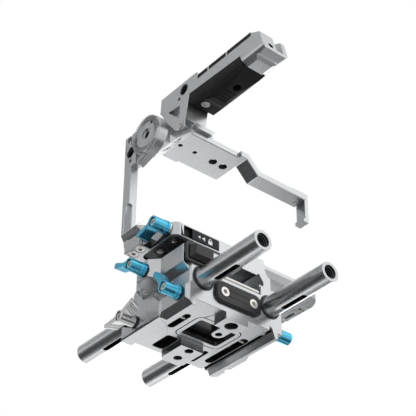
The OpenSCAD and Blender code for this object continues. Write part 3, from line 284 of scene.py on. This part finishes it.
# Radius of each node's broken edges in mm.
EDGE_MM = {
    "rod_block": 0.35, "base_plate": 0.3, "locating_ring": 0.25, "riser": 0.4, "rear_pad": 0.2,
    "button_housing": 0.35, "release_button": 0.4, "dovetail_plate": 0.3, "cage_plate": 0.4,
    "cage_arm": 0.4, "top_bridge": 0.45, "handle_rail": 0.3, "lug_bracket": 0.4,
    "lock_slider": 0.15, "handle_body": 0.35, "handle_grip": 0.25, "handle_foot": 0.4,
    "handle_inlays": 0.3, "plate_insert": 0.15, "rod_left": 0.25, "rod_right": 0.25,
    "lever_cage": 0.25, "lever_riser": 0.25, "lever_rod_left": 0.25, "lever_rod_right": 0.25,
    "lever_base": 0.3,
}
# Radius of the edges longer than LONG_EDGE_MM, where they are rounder than the rest.
LONG_EDGE_MM = 11
WIDE_MM = {"cage_arm": 0.6, "cage_plate": 0.5, "top_bridge": 0.8, "riser": 0.6,
           "handle_foot": 0.7}
# Edges flatter than this in degrees aren't broken, and faces that meet flatter than
# SMOOTH_DEG are shaded as one surface.
SHARP_DEG = 28
SMOOTH_DEG = 40
# Nodes whose flat faces are simple enough to be one face each. The others keep their
# triangles, because a large face with many holes would overlap itself.
WHOLE = {"top_bridge", "handle_body", "handle_foot", "handle_rail", "lug_bracket", "lock_slider"}
WHOLE_DEG = 0.6
# Base plate and rod block meet so closely that their seam doesn't show.
SEAM = min(v.co.z for v in frame["nodes"]["rod_block"].data.vertices)
SEAM_SLACK_MM = 0.02

# A point on the axis of each round node, and that axis: the rods, and the levers on their studs.
ROD_THREADS = {"rod_left": "left_rod_rear_thread", "rod_right": "right_rod_rear_thread"}
ROUND = {rod: line_of(MOUNTS[thread]) for rod, thread in ROD_THREADS.items()}
for joint in behaviour["joints"]:
    if joint["type"] == "hinge":
        for member in behaviour["bodies"][joint["child"]]:
            ROUND[member] = line_of(joint)

# The rods get painted shade inside this radius in mm, just past the wall of their hollow.
ROD_HOLLOW_MM = 4.69
# Where other nodes have deep pockets, whose walls get painted shade: two opposite corners of each
# in mm. ANY is no limit.
ANY = 1000
POCKETS = {
    "base_plate": [((-38.6, -3.5, 5.4), (38.6, 66.5, 14.6))],
    "rod_block": [((-11.9, -6, 30), (21.9, 3, ANY))],
    "riser": [((-11.9, -ANY, -ANY), (21.9, 3, 41))],
    "cage_plate": [((-55.5, -ANY, 59.7), (-27, ANY, 63)),
                   ((-38.6, 5.3, 61), (-4, 7.7, 69.4))],
}
# A bore gets painted shade from this far inside its mouth, and a face this far past its end or
# wall still belongs to it.
BORE_MOUTH_MM = 0.3
BORE_END_MM = 0.2
BORE_WALL_MM = 0.15

# Areas wider than this in mm2 get one normal. Faces belong to one where this much of their
# normals agrees, and a corner that agrees less than TURNED with its face is lit wrongly.
WIDE_AREA_MM2 = 30
FLAT = 0.99999
TURNED = 0.3
# A face is round when its corners are equally far from the axis, but not very near to it,
# and when it faces straight away from it or towards it.
ROUND_FROM_MM = 1.5
ROUND_SLACK_MM = 0.01
ROUND_FACING = 0.9


def weigh_edges(piece, short):
    """Gives each sharp edge its share of the bevel's width: all of it, or short if it's short."""
    edit()
    mesh = bmesh.from_edit_mesh(piece.data)
    weight = mesh.edges.layers.float.new("bevel_weight_edge")
    for edge in mesh.edges:
        if len(edge.link_faces) != 2 or edge.calc_face_angle(0) < math.radians(SHARP_DEG):
            continue
        if any(abs(v.co.z - SEAM) > SEAM_SLACK_MM * MM for v in edge.verts):
            edge[weight] = 1.0 if edge.calc_length() > LONG_EDGE_MM * MM else short
    bmesh.update_edit_mesh(piece.data)
    done()


def in_bore(place):
    """Whether a place lies in or on one of the record's round bores."""
    for mount in record["mounts"]:
        radius = mount["dims"].get("r_mm")
        if radius:
            mouth, outwards = line_of(mount)
            depth = (mouth - place).dot(outwards) / MM
            away = off_axis(place, mouth, outwards).length / MM
            length = mount["dims"]["length_mm"]
            if BORE_MOUTH_MM < depth < length + BORE_END_MM and away < radius + BORE_WALL_MM:
                return True
    return False


def in_pocket(node, place):
    """Whether a place lies in one of a node's deep pockets, or in a rod's hollow."""
    if node in ROD_THREADS:
        return off_axis(place, *ROUND[node]).length < ROD_HOLLOW_MM * MM
    return any(all(a * MM < p < b * MM for a, p, b in zip(low, place, high))
               for low, high in POCKETS.get(node, []))


def paint_pocket_shade(piece, node):
    """Paints shade on the walls of bores and deep pockets: they get the near black painted shade
    material.
    """
    piece.data.materials.append(PAINTED_POCKET_SHADE)
    for face in piece.data.polygons:
        if in_bore(face.center) or in_pocket(node, face.center):
            face.material_index = 1


def flat_areas(mesh):
    """The areas of a mesh that are flat and hang together, as lists of its faces."""
    areas, seen = [], set()
    for start in mesh.faces:
        if start.index in seen:
            continue
        seen.add(start.index)
        area, todo = [start], [start]
        while todo:
            for edge in todo.pop().edges:
                for other in edge.link_faces:
                    if other.index not in seen and other.normal.dot(start.normal) > FLAT:
                        seen.add(other.index)
                        area.append(other)
                        todo.append(other)
        areas.append(area)
    return areas


def flat_normals(piece):
    """Wide flat areas get their own normal at every corner, so no seam of the mesh shows on them.

    So do slivers that a bevel has turned over, which would look black.
    """
    mesh = piece.data
    normals = [Vector(corner.vector) for corner in mesh.corner_normals]
    grid = bmesh.new()
    grid.from_mesh(mesh)
    for area in flat_areas(grid):
        if sum(face.calc_area() for face in area) > WIDE_AREA_MM2 * MM * MM:
            for face in area:
                for corner in mesh.polygons[face.index].loop_indices:
                    normals[corner] = area[0].normal.copy()
    grid.free()
    for face in mesh.polygons:
        for corner in face.loop_indices:
            if normals[corner].dot(face.normal) < TURNED:
                normals[corner] = face.normal.copy()
    mesh.normals_split_custom_set(normals)


def true_round(piece, point, axis):
    """Faces round an axis get the corner normals of a true cylinder, so they shine evenly."""
    mesh = piece.data
    normals = [Vector(corner.vector) for corner in mesh.corner_normals]
    for face in mesh.polygons:
        arms = [off_axis(mesh.vertices[i].co, point, axis) for i in face.vertices]
        reach = [arm.length for arm in arms]
        if min(reach) < ROUND_FROM_MM * MM or max(reach) - min(reach) > ROUND_SLACK_MM * MM:
            continue
        side = 1 if face.normal.dot(sum(arms, Vector())) > 0 else -1
        if min(face.normal.dot(arm.normalized()) * side for arm in arms) < ROUND_FACING:
            continue
        for corner, arm in zip(face.loop_indices, arms):
            normals[corner] = arm.normalized() * side
    mesh.normals_split_custom_set(normals)


def softened(node, radius):
    """A copy of a CAD piece with its sharp edges rounded, which stands for the node."""
    source = frame["nodes"][node]
    wide = WIDE_MM.get(node, radius)
    piece = source.copy()
    piece.data = source.data.copy()
    piece.parent = None
    # The copy must not pass for the CAD node itself.
    for key in [k for k in piece.keys() if k.startswith("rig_")]:
        del piece[key]
    bpy.context.scene.collection.objects.link(piece)
    pick(piece)
    edit()
    bpy.ops.mesh.remove_doubles(threshold=SAME_MM * MM)
    if node in WHOLE:
        bpy.ops.mesh.dissolve_limited(angle_limit=math.radians(WHOLE_DEG))
    done()
    weigh_edges(piece, radius / wide)
    apply(piece, "BEVEL", width=wide * MM, segments=2, limit_method="WEIGHT",
          use_clamp_overlap=False, miter_outer="MITER_ARC")
    shade(piece, SMOOTH_DEG)
    apply(piece, "WEIGHTED_NORMAL", mode="FACE_AREA", weight=80, keep_sharp=True)
    slot = SLOT_OF[node]
    material = HANDLE_ALUMINIUM if node in ("handle_body", "handle_foot") else FINISH[slot]
    finish_piece(piece, node + "_edged", material, BODY_OF[node])
    # Bores and deep pockets get near black painted shade.
    paint_pocket_shade(piece, node)
    flat_normals(piece)
    if node in ROUND:
        true_round(piece, *ROUND[node])
    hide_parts(node)


for node, radius in EDGE_MM.items():
    softened(node, radius)

for node, obj in frame["nodes"].items():
    obj.data.materials.clear()
    obj.data.materials.append(FINISH[SLOT_OF[node]])


# Threads: a ridge wound in each threaded bore

# Node and pitch in mm of each threaded mount: 3/8-16, 1/4-20, M12 x 1.75 and M6 x 1 threads.
THREADS = {
    "tripod_38": ("base_plate", 1.59), "tripod_14_rear": ("base_plate", 1.27),
    "tripod_14_front": ("base_plate", 1.27), "arm_thread": ("cage_arm", 1.59),
    "handle_side_thread": ("handle_body", 1.59), "rosette_thread": ("cage_arm", 1.0),
    "bridge_thread_inner": ("top_bridge", 1.27), "bridge_thread_outer": ("top_bridge", 1.27),
    "left_rod_rear_thread": ("rod_left", 1.75), "left_rod_front_thread": ("rod_left", 1.75),
    "right_rod_rear_thread": ("rod_right", 1.75), "right_rod_front_thread": ("rod_right", 1.75),
}
# Radius of a ridge's section as a share of its pitch, how far it sinks into the bore's wall,
# and the plain length at each end of the bore.
RIDGE_SHARE = 0.22
RIDGE_SINK_MM = 0.04
PLAIN_END_MM = 0.6
TURN_STEPS = 32


def wound(section, radius, pitch, turns, sides):
    """A wire or ridge wound round Z from 0 up: its section has these sides and radius, in mm."""
    deselect()
    bpy.ops.mesh.primitive_circle_add(vertices=sides, radius=section * MM,
                                      location=mm(radius, 0, 0))
    wire = bpy.context.object
    wire.rotation_mode = "ZXY"
    wire.rotation_euler = (math.pi / 2, 0, math.pi / 2)
    bake_place(wire)
    apply(wire, "SCREW", axis="Z", angle=math.tau, screw_offset=pitch * MM, iterations=turns,
          steps=TURN_STEPS, render_steps=TURN_STEPS, use_smooth_shade=False)
    edit()
    bpy.ops.mesh.fill_holes(sides=sides)
    done()
    return wire


def thread_ridge(radius, length, pitch):
    """The ridge of a thread in a bore of this radius and length, wound round Z."""
    section = RIDGE_SHARE * pitch
    turns = int((length - 2 * PLAIN_END_MM) / pitch)
    return wound(section, radius - section / 2 + RIDGE_SINK_MM, pitch, turns, 3)


def place_threads():
    """Threads of one size are modelled once, and copied before the first is put in place."""
    models, made = {}, []
    for mount in record["mounts"]:
        if mount["name"] not in THREADS:
            continue
        node, pitch = THREADS[mount["name"]]
        size = (mount["dims"]["r_mm"], mount["dims"]["length_mm"], pitch)
        if size in models:
            ridge = models[size].copy()
            ridge.data = models[size].data.copy()
            bpy.context.scene.collection.objects.link(ridge)
        else:
            ridge = models[size] = thread_ridge(*size)
        made.append((ridge, node, mount))
    for ridge, node, mount in made:
        inwards = -Vector(mount["axis"])
        ridge.rotation_mode = "QUATERNION"
        ridge.rotation_quaternion = Vector((0, 0, 1)).rotation_difference(inwards)
        ridge.location = Vector(mount["pos_m"]) + PLAIN_END_MM * MM * inwards
        settle(ridge)
        shade(ridge, SMOOTH_DEG)
        # The ridges carry a dark grey of painted shade for the inside of their bores.
        finish_piece(ridge, mount["name"] + "_ridge", SHADED_THREAD_METAL, BODY_OF[node])


place_threads()


# Release spring

# Radius and pitch of its wire in mm.
SPRING_WIRE_MM = 0.4
SPRING_PITCH_MM = 1.65


def coil_spring():
    """Music wire wound round the button's axis, in place of the plain sleeve of the CAD."""
    low, high = (Vector(p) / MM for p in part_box("release_spring"))
    middle = (low + high) / 2
    length = high.y - low.y - 2 * SPRING_WIRE_MM
    turns = int(length / SPRING_PITCH_MM)
    spring = wound(SPRING_WIRE_MM, (high.x - low.x) / 2 - SPRING_WIRE_MM, length / turns, turns, 8)
    spring.rotation_euler = (-math.pi / 2, 0, 0)
    spring.rotation_mode = "XYZ"
    spring.location = mm(middle.x, low.y + SPRING_WIRE_MM, middle.z)
    settle(spring)
    # The wire's eight sides meet at 45 degrees.
    shade(spring, 50)
    finish_piece(spring, "release_spring_coil", STEEL, BODY_OF["release_spring"])
    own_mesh(spring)
    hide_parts("release_spring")


coil_spring()


# White signs on the lock slider

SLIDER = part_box("lock_slider")
# The ink is drawn SIGN_THICK mm thick, and its middle lies just outside the slider's rear face.
SIGN_THICK = 0.08
SIGN_Y = SLIDER[0][1] / MM - 0.03
SIGN_Z = (SLIDER[0][2] + SLIDER[1][2]) / 2 / MM
# Place along X and radius in mm of each arrow, and how far below the middle they sit.
ARROWS = {"slider_arrow_left": (-24.6, 1.5), "slider_arrow_right": (-20.6, 1.9)}
ARROW_DROP = 0.1
# The padlock's place along X, how far its block's middle lies below the slider's, and the
# block's width, height and corner radius.
LOCK_X = -14.8
LOCK_DROP = 1.1
LOCK_WIDE = 3.8
LOCK_HIGH = 2.9
LOCK_CORNER = 0.5
# The shackle's radius, the radius of its wire, how far its ring's middle lies above the
# block's, the length of its legs, and the share of its thickness that pressing it flat leaves.
SHACKLE_R = 1.15
SHACKLE_WIRE = 0.28
SHACKLE_RISE = 1.9
SHACKLE_LEG = 0.6
SHACKLE_FLAT = 0.15


def print_on_slider(piece, name):
    settle(piece)
    finish_piece(piece, name, WHITE_PRINT, BODY_OF["lock_slider"])


def slider_arrow(name, x, radius):
    """A solid triangle that points to the side the slider is pushed to."""
    deselect()
    bpy.ops.mesh.primitive_cylinder_add(
        vertices=3, radius=radius * MM, depth=SIGN_THICK * MM,
        location=mm(x, SIGN_Y, SIGN_Z - ARROW_DROP), rotation=(math.pi / 2, -math.pi / 2, 0))
    print_on_slider(bpy.context.object, name)


def padlock_body(x, z):
    """The padlock's block, with its four corners rounded."""
    deselect()
    bpy.ops.mesh.primitive_cube_add(size=1, location=mm(x, SIGN_Y, z),
                                    scale=mm(LOCK_WIDE, SIGN_THICK, LOCK_HIGH))
    block = bpy.context.object
    bake_place(block)
    edit("DESELECT")
    mesh = bmesh.from_edit_mesh(block.data)
    for edge in mesh.edges:
        a, b = (v.co for v in edge.verts)
        edge.select = abs(a.y - b.y) > SIGN_THICK / 2 * MM
    bmesh.update_edit_mesh(block.data)
    bpy.ops.mesh.bevel(offset=LOCK_CORNER * MM, segments=3)
    done()
    print_on_slider(block, "padlock_body")


def padlock_shackle(x, z):
    """The padlock's shackle: a half ring with straight legs, pressed flat as the ink is."""
    deselect()
    middle = mm(x, SIGN_Y, z + SHACKLE_RISE)
    bpy.ops.mesh.primitive_torus_add(
        major_radius=SHACKLE_R * MM, minor_radius=SHACKLE_WIRE * MM, major_segments=24,
        minor_segments=6, location=middle, rotation=(math.pi / 2, 0, 0))
    shackle = bpy.context.object
    bake_place(shackle)
    edit()
    bpy.ops.mesh.bisect(plane_co=middle, plane_no=(0, 0, -1), clear_outer=True)
    bpy.ops.mesh.extrude_region_move(TRANSFORM_OT_translate={"value": mm(0, 0, -SHACKLE_LEG)})
    bpy.ops.mesh.select_all(action="SELECT")
    bpy.ops.transform.resize(value=(1, SHACKLE_FLAT, 1), center_override=mm(x, SIGN_Y, z))
    bpy.ops.mesh.fill_holes(sides=8)
    done()
    print_on_slider(shackle, "padlock_shackle")


for name, (x, radius) in ARROWS.items():
    slider_arrow(name, x, radius)
padlock_body(LOCK_X, SIGN_Z - LOCK_DROP)
padlock_shackle(LOCK_X, SIGN_Z - LOCK_DROP)


# Camera, stage and light, in metres

# The photo's view, from behind, below and to the left: the eye in mm, its turn in degrees,
# and the length of its lens in mm before a plate SENSOR_MM wide.
EYE_MM = (-490.66, -575.0, -432.15)
EYE_TURN = (125.075, -0.281, -39.437)
LENS_MM = 110.12
SENSOR_MM = 36.0
# The point that cards and lamps face.
MIDDLE = mm(10, 20, 100)

# Cards that the metal mirrors: the way to each from the middle, its width and distance, and
# its colour. The dark ones give the facets on the left and below their depth.
CARDS = {
    "dark_card_left": ((-0.66, 0.52, -0.54), 1.2, 1.0, "#444444"),
    "dark_card_front": ((-0.38, 0.60, -0.70), 0.5, 0.98, "#444444"),
    "dark_card_rear": ((0.45, -0.46, -0.77), 0.8, 0.96, "#4E4E4E"),
    "small_flag": ((-0.194, 0.583, -0.79), 0.12, 0.319, "#202020"),
    "grey_card": ((-0.50, 0.62, 0.60), 0.85, 0.94, "#D0D0D0"),
    "low_card": ((0.52, 0.56, -0.64), 0.9, 1.1, "#707070"),
}
# Soft boxes: the way to each, its width and distance, and its radiance, where white is 1.
LAMPS = {
    "rear_box": ((0.50, -0.66, 0.56), 0.35, 0.6, 0.6),
    "side_box": ((0.80, 0.60, -0.02), 1.0, 1.5, 1.7),
    "low_box": ((0.40, 0.73, -0.56), 0.42, 0.9, 1.1),
    "band_box": ((0.14, 0.63, -0.77), 0.3, 1.0, 1.5),
}
# The floor lies well below, because the camera looks up from under the rig.
FLOOR_WIDTH = 60
FLOOR_DEPTH = 0.9


def aim_camera():
    data = bpy.data.cameras.new("photo_camera")
    data.sensor_fit = "HORIZONTAL"
    data.sensor_width = SENSOR_MM
    data.lens = LENS_MM
    data.clip_end = 50.0
    camera = bpy.data.objects.new("photo_camera", data)
    bpy.context.scene.collection.objects.link(camera)
    turn = Euler([math.radians(a) for a in EYE_TURN]).to_matrix().to_4x4()
    camera.matrix_world = Matrix.Translation(mm(*EYE_MM)) @ turn
    bpy.context.scene.camera = camera


def facing(place):
    """The turn that points a lamp or a card at place towards the middle."""
    return (MIDDLE - place).to_track_quat("-Z", "Y")


def flat_paint(name, colour):
    """The plain matt paint of the studio's floor and cards, without any pattern of its own."""
    material, tree = start_material(name)
    shader = add(tree, "ShaderNodeBsdfDiffuse", {"Color": linear(colour)})
    add(tree, "ShaderNodeOutputMaterial", {"Surface": shader.outputs["BSDF"]})
    return material


def studio_floor():
    deselect()
    bpy.ops.mesh.primitive_plane_add(size=FLOOR_WIDTH, location=(0, 0, -FLOOR_DEPTH))
    floor = bpy.context.object
    floor.name = "studio_floor"
    floor.data.materials.append(flat_paint("pale_floor", "#F4F4F3"))


def studio_card(name, direction, width, distance, colour):
    """A round card outside the picture. The camera doesn't see it."""
    deselect()
    place = MIDDLE + Vector(direction).normalized() * distance
    bpy.ops.mesh.primitive_circle_add(vertices=48, radius=width / 2, fill_type="NGON",
                                      location=place, rotation=facing(place).to_euler())
    card = bpy.context.object
    card.name = name
    card.data.materials.append(flat_paint(name, colour))
    card.visible_camera = False


def soft_lamp(name, direction, width, distance, radiance):
    """A square soft box. Its power follows from its brightness and its area."""
    data = bpy.data.lights.new(name, "AREA")
    data.shape = "SQUARE"
    data.size = width
    data.energy = radiance * math.pi * width * width
    lamp = bpy.data.objects.new(name, data)
    bpy.context.scene.collection.objects.link(lamp)
    lamp.location = MIDDLE + Vector(direction).normalized() * distance
    lamp.rotation_mode = "QUATERNION"
    lamp.rotation_quaternion = facing(lamp.location)
    lamp.visible_camera = False


def white_world():
    world = bpy.data.worlds.new("studio")
    world.use_nodes = True
    bpy.context.scene.world = world
    tree = world.node_tree
    tree.nodes.clear()
    glow = add(tree, "ShaderNodeBackground", {"Color": (1, 1, 1, 1), "Strength": 1.0})
    add(tree, "ShaderNodeOutputWorld", {"Surface": glow.outputs["Background"]})


aim_camera()
white_world()
studio_floor()
for name, card in CARDS.items():
    studio_card(name, *card)
for name, lamp in LAMPS.items():
    soft_lamp(name, *lamp)
bpy.context.scene.view_settings.view_transform = "Standard"

deselect()
